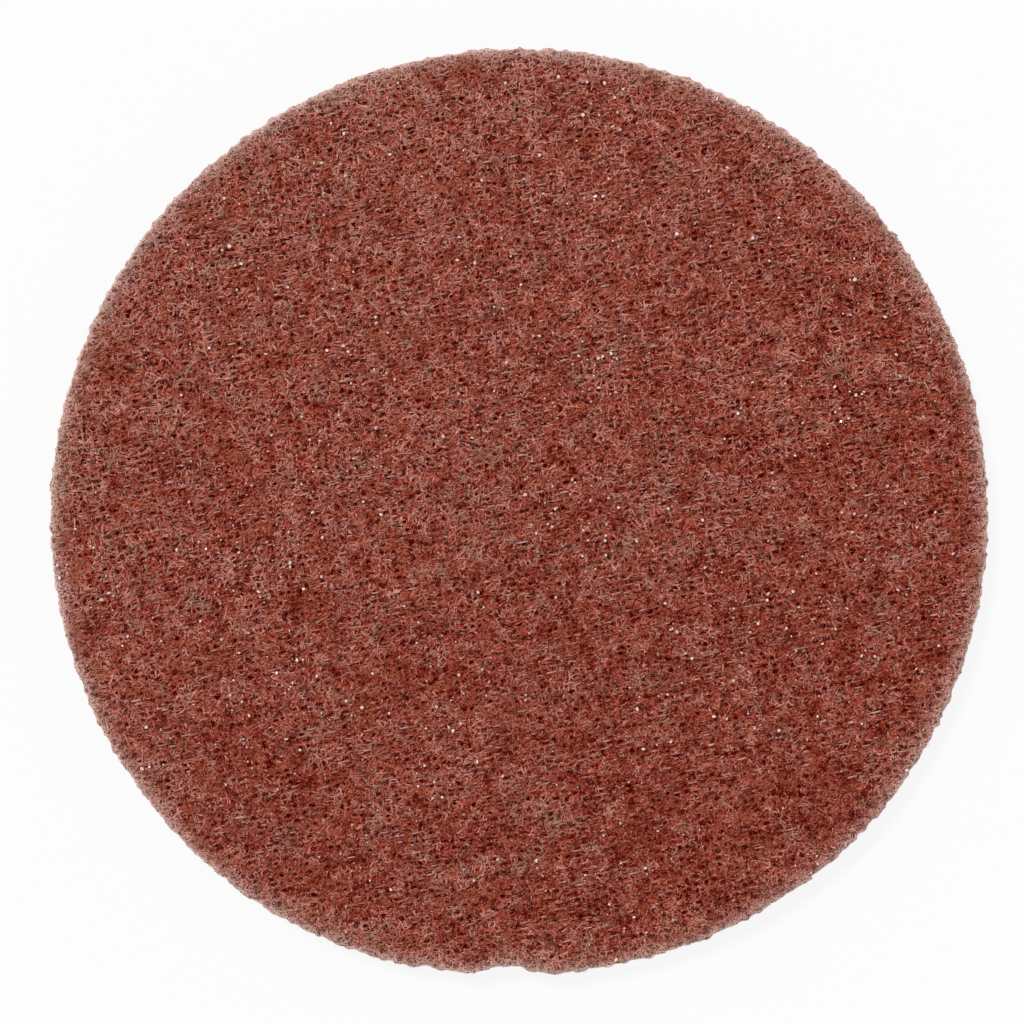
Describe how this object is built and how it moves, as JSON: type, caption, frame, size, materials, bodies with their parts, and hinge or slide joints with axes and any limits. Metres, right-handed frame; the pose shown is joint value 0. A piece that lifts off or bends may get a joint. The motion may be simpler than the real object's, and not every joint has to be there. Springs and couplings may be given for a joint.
{
  "type": "surface conditioning disc",
  "caption": "Round nonwoven abrasive disc on a woven scrim, without a centre hole, held by its flat back on a hooked pad to clean and blend metal.",
  "frame": {"origin": "middle of the flat back, in the plane that the disc rests on", "axes": "+Z out of the working face along the disc's axis; -Y towards the torn bite in the rim; the scrim's threads run 11.6 degrees round from +X"},
  "size_m": [0.1154, 0.1138, 0.0053],
  "materials": {
    "bonded_web": "matte"
  },
  "bodies": {
    "root": {"surface_conditioning_disc": "bonded_web"}
  },
  "joints": []
}
